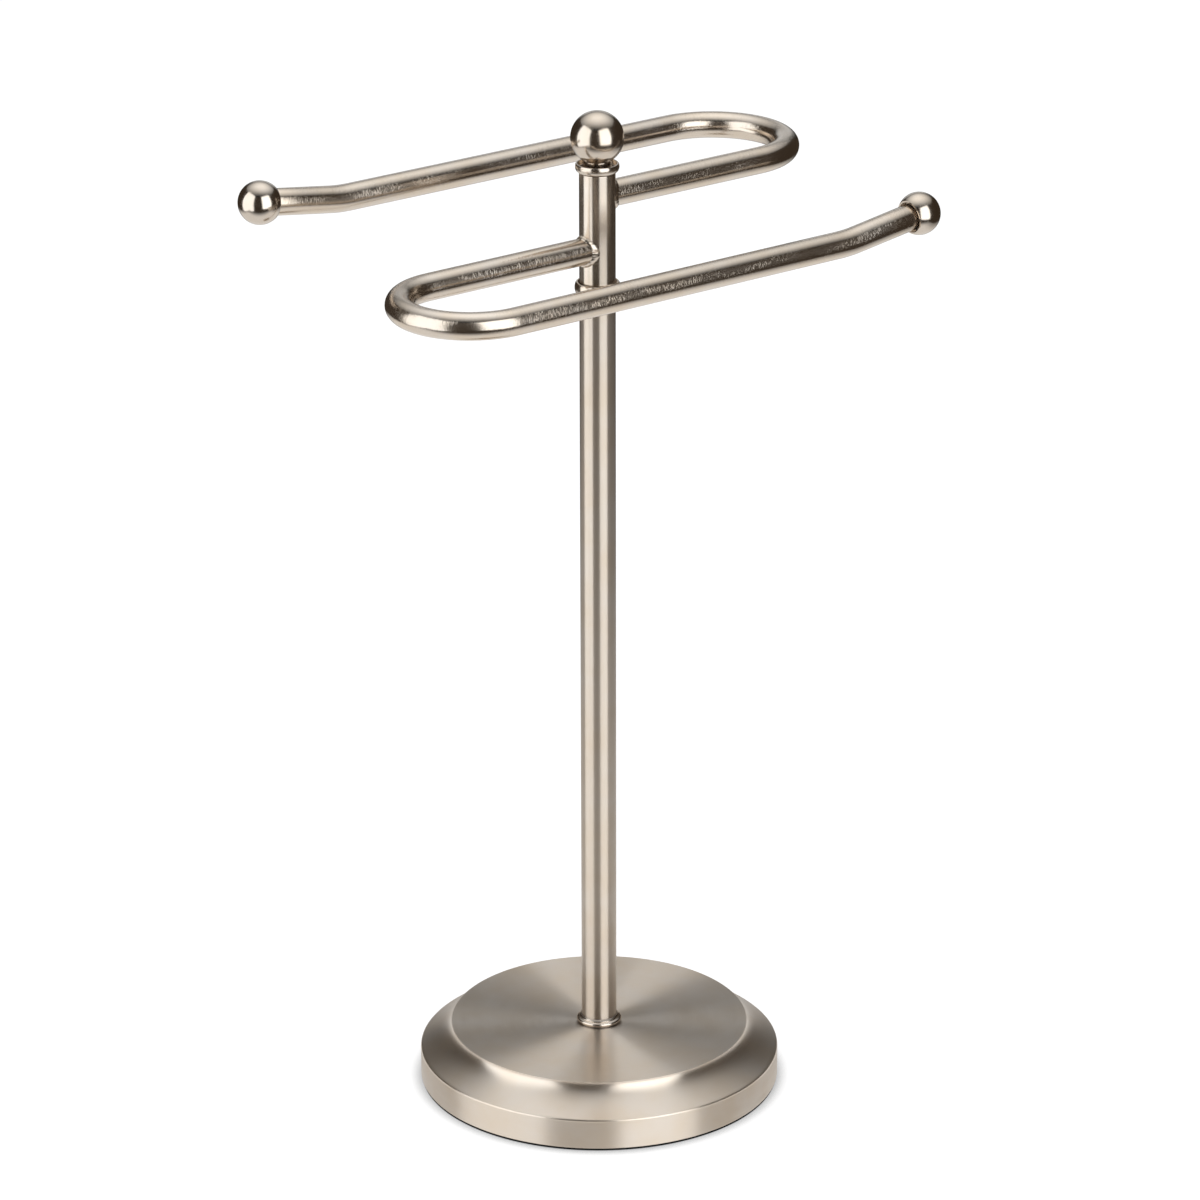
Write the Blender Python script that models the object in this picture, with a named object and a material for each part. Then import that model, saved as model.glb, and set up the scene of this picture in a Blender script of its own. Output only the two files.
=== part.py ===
"""Counter-top hand towel stand with two hook arms, as an assembly of its separate pieces.

Frame: metres, +Z up. The origin is on the post's axis, in the plane the pad rests on.
+X runs along the arms: the upper arm leaves the head towards +X and turns back at the rear (+Y),
the lower arm is the same shape turned half a turn about Z.

Bodies: the stand (base and post), the loose middle collar, and the head with its arms.
The head screws down onto the coupling stud, so it turns and lifts about +Z.
"""
import bpy
import bmesh
from math import asin, cos, pi, radians, sin, sqrt, tan
from mathutils import Vector

# Gaps and facets
GAP = 0.0003
LARGE_SIDES = 40
ROUND_SIDES = 24
SMALL_SIDES = 16
SHARP_ANGLE = radians(35)

# Base
BASE_RADIUS = 0.0655
RIM_Z = 0.01197
LIP_RADIUS = 0.05415
DISC_Z = 0.02154
DISC_CENTRE_Z = 0.0206
COVER_WALL = 0.0009
COVER_BOTTOM_Z = 0.0009
RIM_EDGE = 0.0004
LIP_HEIGHT = 0.0005
LIP_UNDERCUT = 0.0003
SHOULDER_BEND = (0.05436, 0.01747)
SHOULDER_STEPS = 7
DISC_STEPS = 4
PAD_RADIUS = 0.0652
PAD_THICKNESS = 0.0006
PAD_HOLE_RADIUS = 0.0100
WEIGHT_RADIUS = 0.0639
WEIGHT_THICKNESS = 0.0080
WEIGHT_CHAMFER = 0.0010
WEIGHT_FALL = 0.00025
BOSS_RADIUS = 0.0200
POCKET_RADIUS = 0.0090
POCKET_DEPTH = 0.0088

# Threads: M6 x 1 in the post, M4 in the arms
M6_RADIUS = 0.0028
M6_BORE = 0.0031
M6_CLEARANCE = 0.0033
M4_RADIUS = 0.0020
M4_BORE = 0.0023
THREAD_PITCH = 0.0010
ENGAGED_TURNS = 7.5

# Tubes
TUBE_RADIUS = 0.00635
TUBE_WALL = 0.0012
ARM_RADIUS = 0.004755
ARM_WALL = 0.0010
INSERT_RADIUS = TUBE_RADIUS - TUBE_WALL - GAP
ARM_INSERT_RADIUS = ARM_RADIUS - ARM_WALL - GAP

# Collars
FOOT_COLLAR_RADIUS = 0.0082
FOOT_COLLAR_HEIGHT = 0.0029
FOOT_COLLAR_FLOOR = 0.00116
FOOT_BEAD_HEIGHT = 0.0018
FOOT_GROOVE = (0.0073, 0.0021)
FOOT_RING = (0.0074, 0.0023)
MID_COLLAR_RADIUS = 0.0080
MID_COLLAR_Z = 0.2996
MID_COLLAR_HEIGHT = 0.0046
MID_COLLAR_FLOOR = 0.0030
MID_BELLY_Z = 0.0024
TOP_COLLAR_RADIUS = 0.0077
TOP_COLLAR_Z = 0.3439
TOP_COLLAR_HEIGHT = 0.0030
TOP_COLLAR_FLOOR = 0.0011
TOP_BELLY_Z = 0.0018
COLLAR_FOOT = 0.0002
CUP_RADIUS = 0.0069
CUP_RIM = 0.0004
RIM_ROUND = 0.0001
DISH_RADIUS = TUBE_RADIUS + GAP

# Arms
UPPER_ARM_Z = 0.33493
LOWER_ARM_Z = 0.31609
UPPER_BEND_RADIUS = 0.0262
LOWER_BEND_RADIUS = 0.0244
ARM_REACH = 0.07246
KINK_X = 0.07221
KINK_ANGLE = radians(8.15)
KINK_RADIUS = 0.060
BALL_X = 0.10519
TURN_STEPS = 16
KINK_STEPS = 3
BRAZE_ON_HEAD = 0.0011
BRAZE_ON_ARM = 0.0017
BRAZE_SIDES = 24

# Balls
END_BALL_RADIUS = 0.00762
END_BALL_CUT = 0.0046
END_BALL_BORE = 0.0054
END_BALL_FLOOR = 0.0019
FINIAL_RADIUS = 0.0094
FINIAL_Z = 0.35592
FINIAL_NECK = 0.0046
BALL_STEPS = 11

# Lengths of the hidden pieces
POST_INSERT_LENGTH = 0.0220
HEAD_FOOT_INSERT_LENGTH = 0.0150
HEAD_TOP_INSERT_LENGTH = 0.0142
ARM_INSERT_LENGTH = 0.0090
BOLT_HEAD_HEIGHT = 0.0040
BOLT_HEAD_RADIUS = 0.00577
BOLT_LENGTH = 0.0320
FLAT_WASHER = (0.0060, 0.0012)
LOCK_WASHER = (0.0053, 0.0015)
LOCK_WASHER_SPLIT = radians(12)
STUD_BELOW_COLLAR = 0.0150
FINIAL_STUD = (0.3320, 0.3515)
FINIAL_HOLE_TOP = 0.3520
BALL_SCREW = (-0.0095, 0.0035)
BALL_HOLE_TOP = 0.0040

# Heights that follow from the ones above
WEIGHT_Z = PAD_THICKNESS + GAP
WEIGHT_TOP_Z = WEIGHT_Z + WEIGHT_THICKNESS
BOSS_TOP_Z = DISC_CENTRE_Z - COVER_WALL - GAP
POCKET_TOP_Z = WEIGHT_Z + POCKET_DEPTH
FOOT_COLLAR_Z = DISC_CENTRE_Z + GAP
POST_Z = FOOT_COLLAR_Z + FOOT_COLLAR_FLOOR + GAP
POST_TOP_Z = MID_COLLAR_Z - GAP
HEAD_Z = MID_COLLAR_Z + MID_COLLAR_FLOOR + GAP
HEAD_TOP_Z = TOP_COLLAR_Z - GAP
HEAD_INSERT_Z = HEAD_Z + GAP
STUD_TOP_Z = HEAD_INSERT_Z + ENGAGED_TURNS * THREAD_PITCH

# Finishes: base colour, metallic, roughness
SATIN_NICKEL = ((0.56, 0.50, 0.43), 1.0, 0.30)
POLISHED_NICKEL = ((0.60, 0.54, 0.47), 1.0, 0.14)
CAST_IRON = ((0.12, 0.12, 0.12), 0.9, 0.65)
BLACK_RUBBER = ((0.02, 0.02, 0.02), 0.0, 0.85)
ZINC_STEEL = ((0.62, 0.63, 0.64), 1.0, 0.35)
BRASS = ((0.68, 0.50, 0.22), 1.0, 0.30)


def clear_scene():
    for old in list(bpy.data.objects):
        bpy.data.objects.remove(old, do_unlink=True)


def add_material(obj, finish):
    color, metallic, roughness = finish
    mat = bpy.data.materials.new(obj.name + "_finish")
    mat.use_nodes = True
    shader = mat.node_tree.nodes["Principled BSDF"]
    shader.inputs["Base Color"].default_value = (*color, 1.0)
    shader.inputs["Metallic"].default_value = metallic
    shader.inputs["Roughness"].default_value = roughness
    mat.diffuse_color = (*color, 1.0)
    obj.data.materials.append(mat)


def add_object(name, bm, finish, parent=None):
    """Close the bmesh into a named object with outward faces and smooth round sides."""
    bmesh.ops.recalc_face_normals(bm, faces=bm.faces)
    mesh = bpy.data.meshes.new(name)
    bm.to_mesh(mesh)
    bm.free()
    mesh.shade_smooth()
    mesh.set_sharp_from_angle(angle=SHARP_ANGLE)
    obj = bpy.data.objects.new(name, mesh)
    bpy.context.scene.collection.objects.link(obj)
    obj.parent = parent
    add_material(obj, finish)
    return obj


def add_empty(name, location, turn=0.0, parent=None):
    empty = bpy.data.objects.new(name, None)
    bpy.context.scene.collection.objects.link(empty)
    empty.location = location
    empty.rotation_euler = (0.0, 0.0, turn)
    empty.parent = parent
    return empty


def arc(centre, radii, start, end, steps):
    """Points (r, z) on an ellipse about centre, from start to end in degrees."""
    angles = [radians(start + (end - start) * i / steps) for i in range(steps + 1)]
    return [(centre[0] + radii[0] * cos(a), centre[1] + radii[1] * sin(a)) for a in angles]


def turned(name, outline, sides, finish, z=0.0, parent=None):
    """A piece turned on a lathe: the outline (r, z) goes once round its half section.

    An outline whose first and last points have r = 0 gives a solid closed on the axis,
    any other outline closes on itself and leaves a bore.
    """
    bm = bmesh.new()
    rings = []
    for r, height in outline:
        if r == 0.0:
            rings.append([bm.verts.new((0.0, 0.0, height))] * sides)
        else:
            angles = [2 * pi * k / sides for k in range(sides)]
            rings.append([bm.verts.new((r * cos(a), r * sin(a), height)) for a in angles])
    pairs = list(zip(rings, rings[1:]))
    if outline[0][0] > 0.0:
        pairs.append((rings[-1], rings[0]))
    for lower, upper in pairs:
        for k in range(sides):
            n = (k + 1) % sides
            corners = dict.fromkeys((lower[k], lower[n], upper[n], upper[k]))
            bm.faces.new(corners)
    obj = add_object(name, bm, finish, parent)
    obj.location = (0.0, 0.0, z)
    return obj


def pipe(name, outer, inner, length, sides, finish, z=0.0, parent=None):
    """A straight tube or bush standing on z."""
    outline = [(inner, 0.0), (outer, 0.0), (outer, length), (inner, length)]
    return turned(name, outline, sides, finish, z, parent)


def rod(name, radius, bottom, top, sides, finish, parent=None):
    """A plain round bar, standing for a threaded one at its pitch radius."""
    length = top - bottom
    outline = [(0.0, 0.0), (radius, 0.0), (radius, length), (0.0, length)]
    return turned(name, outline, sides, finish, bottom, parent)


# --- stand: base and post ---------------------------------------------------------------------


def base_pad():
    return pipe("base_pad", PAD_RADIUS, PAD_HOLE_RADIUS, PAD_THICKNESS, LARGE_SIDES, BLACK_RUBBER)


def disc_z(r):
    """Height of the cover's slightly dished top at a radius."""
    return DISC_CENTRE_Z + (DISC_Z - DISC_CENTRE_Z) * (r / LIP_RADIUS) ** 2


def shoulder(inset):
    """Points (r, z) down the hollow shoulder, steep under the lip and flatter at the rim,
    moved in from its outer face."""
    top = Vector((LIP_RADIUS - LIP_UNDERCUT, DISC_Z - LIP_HEIGHT))
    bend = Vector(SHOULDER_BEND)
    rim = Vector((BASE_RADIUS - RIM_EDGE, RIM_Z))
    points = []
    for i in range(SHOULDER_STEPS + 1):
        t = i / SHOULDER_STEPS
        point = (1 - t) ** 2 * top + 2 * t * (1 - t) * bend + t * t * rim
        along = ((1 - t) * (bend - top) + t * (rim - bend)).normalized()
        points.append((point.x + inset * along.y, point.y - inset * along.x))
    return points


def base_cover():
    """Spun shell: skirt, hollow shoulder, thin lip and slightly dished top."""
    skin = COVER_WALL
    shares = [i / DISC_STEPS for i in range(1, DISC_STEPS + 1)]
    flat = LIP_RADIUS - LIP_HEIGHT - M6_CLEARANCE
    disc = [M6_CLEARANCE + flat * share for share in shares]
    inside = shoulder(skin)
    outline = [(BASE_RADIUS, COVER_BOTTOM_Z), (BASE_RADIUS, RIM_Z - RIM_EDGE)]
    outline += shoulder(0.0)[::-1]
    outline += [(LIP_RADIUS, DISC_Z - LIP_HEIGHT / 2)]
    outline += [(r, disc_z(r)) for r in disc[::-1]]
    outline += [(M6_CLEARANCE, disc_z(M6_CLEARANCE)), (M6_CLEARANCE, disc_z(M6_CLEARANCE) - skin)]
    outline += [(r, disc_z(r) - skin) for r in disc[:-1]]
    outline += [(inside[0][0], disc_z(inside[0][0]) - skin)]
    outline += [point for point in inside if point[1] < DISC_Z - LIP_HEIGHT - skin]
    outline += [(BASE_RADIUS - skin, inside[-1][1] - RIM_EDGE), (BASE_RADIUS - skin, COVER_BOTTOM_Z)]
    return turned("base_cover", outline, LARGE_SIDES, SATIN_NICKEL)


def base_weight():
    """Cast disc with a boss under the cover's top and a pocket for the bolt head."""
    outline = [
        (POCKET_RADIUS, WEIGHT_Z),
        (WEIGHT_RADIUS, WEIGHT_Z),
        (WEIGHT_RADIUS, WEIGHT_TOP_Z - WEIGHT_CHAMFER),
        (WEIGHT_RADIUS - WEIGHT_CHAMFER, WEIGHT_TOP_Z - WEIGHT_FALL),
        (BOSS_RADIUS + WEIGHT_CHAMFER, WEIGHT_TOP_Z),
        (BOSS_RADIUS, WEIGHT_TOP_Z + WEIGHT_CHAMFER),
        (BOSS_RADIUS, BOSS_TOP_Z),
        (M6_CLEARANCE, BOSS_TOP_Z),
        (M6_CLEARANCE, POCKET_TOP_Z),
        (POCKET_RADIUS, POCKET_TOP_Z),
    ]
    return turned("base_weight", outline, LARGE_SIDES, CAST_IRON)


def base_flat_washer():
    radius, thickness = FLAT_WASHER
    bottom = POCKET_TOP_Z - GAP - thickness
    pipe("base_flat_washer", radius, M6_CLEARANCE, thickness, ROUND_SIDES, ZINC_STEEL, bottom)
    return bottom


def base_lock_washer(top):
    """Split spring washer: a square section spun most of the way round."""
    radius, thickness = LOCK_WASHER
    low = top - GAP - thickness
    bm = bmesh.new()
    corners = [(M6_CLEARANCE, 0), (radius, 0), (radius, thickness), (M6_CLEARANCE, thickness)]
    face = bm.faces.new([bm.verts.new((x, 0.0, z)) for x, z in corners])
    bmesh.ops.spin(bm, geom=[face] + list(face.edges) + list(face.verts), cent=(0, 0, 0),
                   axis=(0, 0, 1), angle=2 * pi - LOCK_WASHER_SPLIT, steps=ROUND_SIDES)
    obj = add_object("base_lock_washer", bm, ZINC_STEEL)
    obj.location = (0.0, 0.0, low)
    return low


def base_bolt(top):
    """Hexagon bolt from below, up through the weight and cover into the post."""
    head_z = top - GAP - BOLT_HEAD_HEIGHT
    bm = bmesh.new()
    bmesh.ops.create_cone(bm, cap_ends=True, segments=6, radius1=BOLT_HEAD_RADIUS,
                          radius2=BOLT_HEAD_RADIUS, depth=BOLT_HEAD_HEIGHT)
    bmesh.ops.translate(bm, verts=bm.verts, vec=(0.0, 0.0, BOLT_HEAD_HEIGHT / 2))
    cap = max(bm.faces, key=lambda f: f.calc_center_median().z)
    bmesh.ops.delete(bm, geom=[cap], context="FACES_ONLY")
    rim = [e for e in bm.edges if e.is_boundary]
    rings = [rim]
    for height in (BOLT_HEAD_HEIGHT, BOLT_HEAD_HEIGHT + BOLT_LENGTH):
        ring = bmesh.ops.create_circle(bm, cap_ends=False, segments=12, radius=M6_RADIUS)
        verts = ring["verts"]
        bmesh.ops.translate(bm, verts=verts, vec=(0.0, 0.0, height))
        rings.append([e for e in bm.edges if e.verts[0] in verts and e.verts[1] in verts])
    bmesh.ops.bridge_loops(bm, edges=rings[0] + rings[1])
    bmesh.ops.bridge_loops(bm, edges=rings[1] + rings[2])
    bmesh.ops.holes_fill(bm, edges=rings[2])
    obj = add_object("base_bolt", bm, ZINC_STEEL)
    obj.location = (0.0, 0.0, head_z)


def foot_collar():
    """Rounded bead with a small ring on top: the post drops into its dish."""
    r, h, floor = FOOT_COLLAR_RADIUS, FOOT_COLLAR_HEIGHT, FOOT_COLLAR_FLOOR
    half = FOOT_BEAD_HEIGHT / 2
    outline = [(M6_CLEARANCE, 0.0), (r - half, 0.0)]
    outline += arc((r - half, half), (half, half), -60, 60, 4)
    outline += [FOOT_GROOVE, FOOT_RING, (DISH_RADIUS + RIM_ROUND, h), (DISH_RADIUS, h - RIM_ROUND)]
    outline += [(DISH_RADIUS, floor), (M6_CLEARANCE, floor)]
    return turned("foot_collar", outline, ROUND_SIDES, SATIN_NICKEL, FOOT_COLLAR_Z)


def post():
    length = POST_TOP_Z - POST_Z
    pipe("post_tube", TUBE_RADIUS, TUBE_RADIUS - TUBE_WALL, length, ROUND_SIDES,
         SATIN_NICKEL, POST_Z)
    pipe("post_foot_insert", INSERT_RADIUS, M6_BORE, POST_INSERT_LENGTH, SMALL_SIDES,
         BRASS, POST_Z + GAP)
    pipe("post_top_insert", INSERT_RADIUS, M6_BORE, POST_INSERT_LENGTH, SMALL_SIDES,
         BRASS, POST_TOP_Z - GAP - POST_INSERT_LENGTH)
    rod("coupling_stud", M6_RADIUS, MID_COLLAR_Z - STUD_BELOW_COLLAR, STUD_TOP_Z,
        SMALL_SIDES, ZINC_STEEL)


# --- loose middle collar ----------------------------------------------------------------------


def cup(radius, height, belly, floor):
    """Outline of a rounded collar that stands on a tube's end and is open on top."""
    foot = TUBE_RADIUS + COLLAR_FOOT
    rim = CUP_RADIUS + CUP_RIM
    outline = [(M6_CLEARANCE, 0.0)]
    outline += arc((foot, belly), (radius - foot, belly), -90, 0, 4)
    outline += arc((rim, belly), (radius - rim, height - belly), 0, 90, 3)[1:]
    outline += [(CUP_RADIUS + RIM_ROUND, height), (CUP_RADIUS, height - RIM_ROUND)]
    outline += [(CUP_RADIUS, floor), (M6_CLEARANCE, floor)]
    return outline


def mid_collar():
    """Barrel bead between post and head, with an open gap round the head tube."""
    axis = add_empty("collar_axis", (0.0, 0.0, MID_COLLAR_Z))
    outline = cup(MID_COLLAR_RADIUS, MID_COLLAR_HEIGHT, MID_BELLY_Z, MID_COLLAR_FLOOR)
    return turned("mid_collar", outline, ROUND_SIDES, SATIN_NICKEL, parent=axis)


# --- head -------------------------------------------------------------------------------------


def head_tube(head):
    length = HEAD_TOP_Z - HEAD_Z
    pipe("head_tube", TUBE_RADIUS, TUBE_RADIUS - TUBE_WALL, length, ROUND_SIDES,
         SATIN_NICKEL, parent=head)
    pipe("head_foot_insert", INSERT_RADIUS, M6_BORE, HEAD_FOOT_INSERT_LENGTH, SMALL_SIDES,
         BRASS, HEAD_INSERT_Z - HEAD_Z, head)
    pipe("head_top_insert", INSERT_RADIUS, M6_BORE, HEAD_TOP_INSERT_LENGTH, SMALL_SIDES,
         BRASS, length - GAP - HEAD_TOP_INSERT_LENGTH, head)


def top_collar(head):
    """Shallow cup under the finial, with a recess round the finial's neck."""
    outline = cup(TOP_COLLAR_RADIUS, TOP_COLLAR_HEIGHT, TOP_BELLY_Z, TOP_COLLAR_FLOOR)
    return turned("top_collar", outline, ROUND_SIDES, SATIN_NICKEL, TOP_COLLAR_Z - HEAD_Z, head)


def finial(head):
    """Ball on a short neck, screwed down on its own stud."""
    neck_angle = -90 + asin(FINIAL_NECK / FINIAL_RADIUS) * 180 / pi
    outline = [(0.0, FINIAL_RADIUS)]
    outline += arc((0.0, 0.0), (FINIAL_RADIUS, FINIAL_RADIUS), 90, neck_angle, BALL_STEPS)[1:]
    neck_bottom = TOP_COLLAR_Z + TOP_COLLAR_FLOOR + GAP - FINIAL_Z
    hole_top = FINIAL_HOLE_TOP - FINIAL_Z
    outline += [(FINIAL_NECK, neck_bottom), (M6_BORE, neck_bottom), (M6_BORE, hole_top)]
    outline += [(0.0, hole_top)]
    turned("finial_ball", outline, ROUND_SIDES, POLISHED_NICKEL, FINIAL_Z - HEAD_Z, head)
    bottom, top = FINIAL_STUD
    rod("finial_stud", M6_RADIUS, bottom - HEAD_Z, top - HEAD_Z, SMALL_SIDES, ZINC_STEEL, head)


def arm_path(bend_radius):
    """Centre line in the arm's own frame, as (point, direction), from the head to the ball.

    The stub runs along +X, turns back round a half circle towards +Y, runs along -X
    and kinks gently upwards before the ball.
    """
    turn_centre = Vector((ARM_REACH, bend_radius, 0.0))
    path = []
    for i in range(TURN_STEPS + 1):
        a = pi * i / TURN_STEPS
        spoke = Vector((sin(a), -cos(a), 0.0))
        path.append((turn_centre + bend_radius * spoke, Vector((cos(a), sin(a), 0.0))))
    tangent = KINK_RADIUS * tan(KINK_ANGLE / 2)
    kink_start = Vector((tangent - KINK_X, 2 * bend_radius, 0.0))
    for i in range(KINK_STEPS + 1):
        a = KINK_ANGLE * i / KINK_STEPS
        offset = Vector((-sin(a), 0.0, 1.0 - cos(a))) * KINK_RADIUS
        path.append((kink_start + offset, Vector((-cos(a), 0.0, sin(a)))))
    end_direction = path[-1][1]
    path.append((ball_centre(bend_radius) - end_direction * (END_BALL_FLOOR + GAP), end_direction))
    return path


def ball_centre(bend_radius):
    rise = (BALL_X - KINK_X) * tan(KINK_ANGLE)
    return Vector((-BALL_X, 2 * bend_radius, rise))


def circle_on(point, direction, radius):
    """A ring of points about a direction, starting on its flat side."""
    up = Vector((0.0, 0.0, 1.0))
    side = direction.cross(up).normalized()
    lift = side.cross(direction).normalized()
    ring = []
    for k in range(SMALL_SIDES):
        a = 2 * pi * k / SMALL_SIDES
        ring.append(point + side * radius * cos(a) + lift * radius * sin(a))
    return ring


def coped_ring(radius):
    """The stub's end, cut to sit against the round head tube."""
    ring = circle_on(Vector((0.0, 0.0, 0.0)), Vector((1.0, 0.0, 0.0)), radius)
    saddle = TUBE_RADIUS + GAP
    return [Vector((sqrt(saddle * saddle - p.y * p.y), p.y, p.z)) for p in ring]


def join_rings(bm, first, second):
    sides = len(first)
    for k in range(sides):
        n = (k + 1) % sides
        bm.faces.new((first[k], first[n], second[n], second[k]))


def arm(name, frame, bend_radius):
    """Bent tube, open at both ends."""
    bm = bmesh.new()
    skins = []
    for radius in (ARM_RADIUS, ARM_RADIUS - ARM_WALL):
        rings = [coped_ring(radius)]
        rings += [circle_on(point, direction, radius) for point, direction in arm_path(bend_radius)]
        skins.append([[bm.verts.new(p) for p in ring] for ring in rings])
    for rings in skins:
        for first, second in zip(rings, rings[1:]):
            join_rings(bm, first, second)
    outer, inner = skins
    join_rings(bm, outer[0], inner[0])
    join_rings(bm, outer[-1], inner[-1])
    return add_object(name, bm, SATIN_NICKEL, frame)


def braze_bead(name, frame):
    """Fillet of filler that follows the saddle where the stub meets the head tube."""
    inner = ARM_RADIUS + GAP
    middle = ARM_RADIUS + BRAZE_ON_HEAD / 2
    section = [
        (inner, GAP),
        (ARM_RADIUS + BRAZE_ON_HEAD, GAP),
        (ARM_RADIUS + BRAZE_ON_HEAD, 2 * GAP),
        (middle, BRAZE_ON_ARM / 2),
        (inner, BRAZE_ON_ARM),
    ]
    bm = bmesh.new()
    rings = []
    for i in range(BRAZE_SIDES):
        a = 2 * pi * i / BRAZE_SIDES
        ring = []
        for radius, off in section:
            y = radius * cos(a)
            x = sqrt(TUBE_RADIUS * TUBE_RADIUS - y * y) + off
            ring.append(bm.verts.new((x, y, radius * sin(a))))
        rings.append(ring)
    for first, second in zip(rings, rings[1:] + rings[:1]):
        join_rings(bm, first, second)
    return add_object(name, bm, POLISHED_NICKEL, frame)


def end_ball(prefix, frame, bend_radius):
    """Ball, its screw and the arm's threaded insert, on an axis along the arm's end."""
    axis = add_empty(prefix + "_ball_axis", ball_centre(bend_radius), parent=frame)
    axis.rotation_euler = (0.0, KINK_ANGLE - pi / 2, 0.0)
    cut_angle = -asin(END_BALL_CUT / END_BALL_RADIUS) * 180 / pi
    outline = [(0.0, END_BALL_RADIUS)]
    outline += arc((0.0, 0.0), (END_BALL_RADIUS, END_BALL_RADIUS), 90, cut_angle, BALL_STEPS)[1:]
    outline += [(END_BALL_BORE, -END_BALL_CUT), (END_BALL_BORE, -END_BALL_FLOOR)]
    outline += [(M4_BORE, -END_BALL_FLOOR), (M4_BORE, BALL_HOLE_TOP), (0.0, BALL_HOLE_TOP)]
    turned(prefix + "_end_ball", outline, ROUND_SIDES, POLISHED_NICKEL, parent=axis)
    arm_end = -END_BALL_FLOOR - GAP
    pipe(prefix + "_arm_insert", ARM_INSERT_RADIUS, M4_BORE, ARM_INSERT_LENGTH, SMALL_SIDES,
         BRASS, arm_end - GAP - ARM_INSERT_LENGTH, axis)
    bottom, top = BALL_SCREW
    rod(prefix + "_ball_screw", M4_RADIUS, bottom, top, SMALL_SIDES, ZINC_STEEL, axis)


def head_assembly():
    head = add_empty("head_axis", (0.0, 0.0, HEAD_Z))
    head_tube(head)
    top_collar(head)
    finial(head)
    for prefix, z, turn, bend_radius in (
        ("upper", UPPER_ARM_Z, 0.0, UPPER_BEND_RADIUS),
        ("lower", LOWER_ARM_Z, pi, LOWER_BEND_RADIUS),
    ):
        frame = add_empty(prefix + "_arm_frame", (0.0, 0.0, z - HEAD_Z), turn, head)
        arm(prefix + "_arm", frame, bend_radius)
        braze_bead(prefix + "_arm_braze", frame)
        end_ball(prefix, frame, bend_radius)


def build():
    clear_scene()
    base_pad()
    base_cover()
    base_weight()
    washer_bottom = base_flat_washer()
    lock_bottom = base_lock_washer(washer_bottom)
    base_bolt(lock_bottom)
    foot_collar()
    post()
    mid_collar()
    head_assembly()
    bpy.context.view_layer.update()


build()
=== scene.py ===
"""Looks for the counter-top hand towel stand: fine meshes, nickel finishes, studio and camera.

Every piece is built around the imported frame. Radii and heights come from the nodes' boxes;
the few design values that a box can't give are named below, in metres.
"""
import bpy
from math import acos, cos, degrees, pi, radians, sin, sqrt, tan
from mathutils import Matrix, Vector


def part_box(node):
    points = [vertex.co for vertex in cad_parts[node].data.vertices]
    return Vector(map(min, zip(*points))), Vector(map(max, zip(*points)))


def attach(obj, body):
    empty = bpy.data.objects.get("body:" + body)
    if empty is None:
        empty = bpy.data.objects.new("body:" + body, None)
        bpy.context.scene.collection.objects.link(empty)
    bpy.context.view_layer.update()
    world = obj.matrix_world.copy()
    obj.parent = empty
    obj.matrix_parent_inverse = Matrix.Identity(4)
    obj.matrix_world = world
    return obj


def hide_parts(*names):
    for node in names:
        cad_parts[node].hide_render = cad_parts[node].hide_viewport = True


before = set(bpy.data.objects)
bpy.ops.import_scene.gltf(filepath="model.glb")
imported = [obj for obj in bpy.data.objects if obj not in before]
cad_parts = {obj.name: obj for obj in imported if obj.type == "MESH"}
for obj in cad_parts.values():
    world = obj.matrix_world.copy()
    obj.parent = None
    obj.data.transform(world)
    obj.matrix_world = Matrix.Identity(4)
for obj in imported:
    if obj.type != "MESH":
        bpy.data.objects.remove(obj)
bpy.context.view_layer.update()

# Camera: looks at a point on the post's axis, from in front of the lower arm's side
LOOK_AT = Vector((0.0005, -0.0004, 0.1855))
VIEW_AZIMUTH = radians(-37.75)
VIEW_ELEVATION = radians(20.82)
VIEW_ROLL = radians(-0.12)
VIEW_DISTANCE = 1.870
LENS_MM = 157.6
SENSOR_MM = 36.0

# Left, right, front and back edges, from the post, of the white table top and of the ceiling
# light that the metal reflects
TABLE = (-0.70, 0.55, -0.46, 0.70)
CEILING = (-1.6, 1.6, -1.3, 3.3)
CEILING_HEIGHT = 1.56
ARMS_HEIGHT = 0.356

# Mesh fineness
TURNED_SIDES = 160
TUBE_SIDES = 64
BALL_RINGS = 72
FILLET_STEPS = 6
SUPPORT = 0.00012
AXIS_Z = Matrix.Identity(4)

# Design values that a node's box doesn't give. The pocket is a radius and a depth; heights in
# the end balls are along the ball's own axis, from its centre.
KINK_X = 0.07221
KINK_ANGLE = radians(8.15)
KINK_RADIUS = 0.060
COVER_WALL = 0.0009
RIM_Z = 0.01197
LIP_RADIUS = 0.05415
LIP_HEIGHT = 0.0005
LIP_UNDERCUT = 0.0003
SHOULDER_BEND = Vector((0.05436, 0.01747))
COVER_EDGE_FILLET = 0.0009
FOOT_BEAD_HEIGHT = 0.0018
FOOT_FLOOR = 0.00116
FOOT_RING_RADIUS = 0.0074
POST_DISH_GAP = 0.00012
CUP_RADIUS = 0.0069
MID_BELLY_Z = 0.0024
MID_FLOOR = 0.0030
TOP_BELLY_Z = 0.0018
TOP_FLOOR = 0.0011
FINIAL_NECK = 0.0046
FINIAL_BORE_TOP = 0.3520
BALL_MOUTH_Z = -0.0046
BALL_MOUTH_RADIUS = 0.0054
BALL_FLOOR_Z = -0.0019
BALL_HOLE_TOP = 0.0038
BALL_SCREW_ENDS = (-0.0095, 0.0035)
ARM_INSERT_LENGTH = 0.0090
PAD_HOLE = 0.010
WEIGHT_STEP = 0.0080
WEIGHT_BOSS = 0.0200
WEIGHT_POCKET = (0.0090, 0.0088)
BOLT_HEAD = 0.0040
M6_CLEARANCE = 0.0033
M6_BORE = 0.0031
M6_CORE = 0.0029
M6_PITCH = 0.0010
M4_BORE = 0.0023
M4_CORE = 0.0020
M4_PITCH = 0.0007
NEAR_AXIS = 0.0001
SMOOTH_ANGLE = radians(50)
TUBE_WALL = 0.0012
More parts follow.
